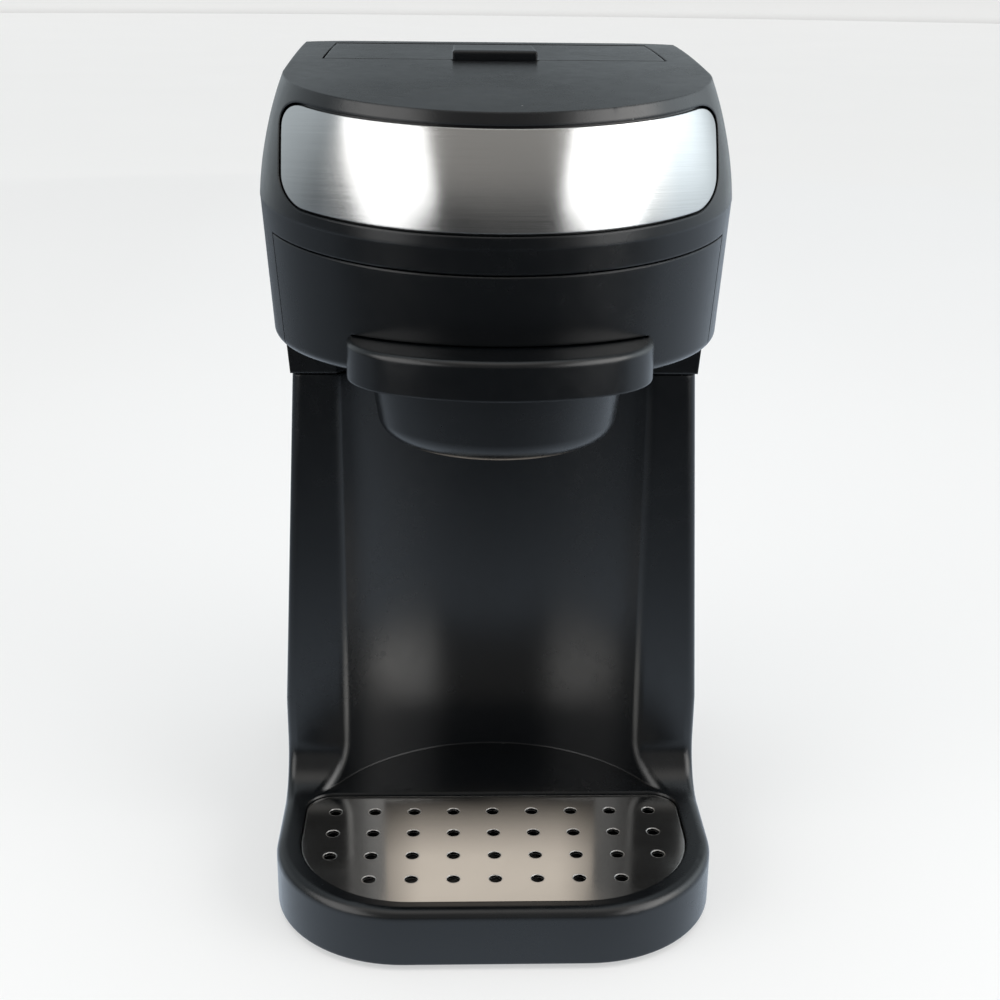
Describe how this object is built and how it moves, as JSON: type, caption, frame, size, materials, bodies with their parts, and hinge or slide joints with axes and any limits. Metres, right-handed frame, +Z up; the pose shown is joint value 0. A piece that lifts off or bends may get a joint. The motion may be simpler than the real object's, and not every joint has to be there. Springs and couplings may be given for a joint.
{
  "type": "drip coffee maker",
  "caption": "Compact single-cup drip coffee maker with a stainless band, slide-out filter basket, flip-up water lid and perforated drip plate.",
  "frame": {"origin": "on the floor at the middle of the footprint, under the feet", "axes": "+Z up, -Y towards the user and the mug, +X to the user's right"},
  "size_m": [0.1308, 0.1685, 0.2399],
  "materials": {
    "body_plastic": "fine satin moulded black with a blue-grey cast",
    "inner_plastic": "plain moulded black",
    "foot_rubber": "matte black rubber",
    "gland_rubber": "matte black rubber",
    "screw_steel": "zinc-plated steel",
    "stainless": "fine brushed along its length",
    "plate_steel": "polished sheet with punched holes",
    "tank_plastic": "natural translucent polypropylene",
    "fine_mesh": "woven stainless wire",
    "valve_plastic": "natural acetal",
    "silicone": "translucent silicone",
    "boiler_aluminium": "die-cast",
    "element_steel": "heat-tinted sheath",
    "switch_plastic": "gloss black",
    "rocker_plastic": "gloss translucent red",
    "filter_plastic": "gloss black"
  },
  "bodies": {
    "housing": {"base_shell": "body_plastic", "bottom_plate": "body_plastic", "rubber_feet": "foot_rubber", "base_screws": "screw_steel", "rear_cover": "body_plastic", "rear_screws": "screw_steel", "cord_gland": "gland_rubber", "front_cover": "body_plastic", "stainless_band": "stainless", "head_housing": "body_plastic", "lid_hinge_pin": "screw_steel", "basket_guide": "inner_plastic", "brew_deck": "inner_plastic", "spray_head": "inner_plastic", "water_tank": "tank_plastic", "outlet_strainer": "fine_mesh", "check_valve": "valve_plastic", "tank_seal": "silicone", "cold_hose": "silicone", "hot_riser": "silicone", "water_tube": "boiler_aluminium", "boiler_block": "boiler_aluminium", "heating_element": "element_steel", "thermostat": "element_steel", "thermal_fuse": "element_steel", "boiler_bracket": "screw_steel", "boiler_seats": "inner_plastic", "switch_body": "switch_plastic"},
    "lid": {"water_lid": "body_plastic"},
    "basket": {"filter_basket": "body_plastic", "filter_frame": "filter_plastic", "filter_mesh": "fine_mesh"},
    "drip_plate": {"drip_plate": "plate_steel"},
    "rocker": {"switch_rocker": "rocker_plastic"}
  },
  "joints": [
    {"name": "lid_hinge", "type": "hinge", "parent": "housing", "child": "lid", "pos_m": [0, 0.0712, 0.2368], "axis": [-1, 0, 0], "range_deg": [0, 95]},
    {"name": "basket_slide", "type": "slide", "parent": "housing", "child": "basket", "axis": [0, -1, 0], "range_m": [0, 0.095]},
    {"name": "plate_lift", "type": "slide", "parent": "housing", "child": "drip_plate", "axis": [0, 0, 1], "range_m": [0, 0.04]},
    {"name": "rocker_tilt", "type": "hinge", "parent": "housing", "child": "rocker", "pos_m": [0.05979, 0.048, 0.062], "axis": [0, 1, 0], "range_deg": [0, 12]}
  ]
}
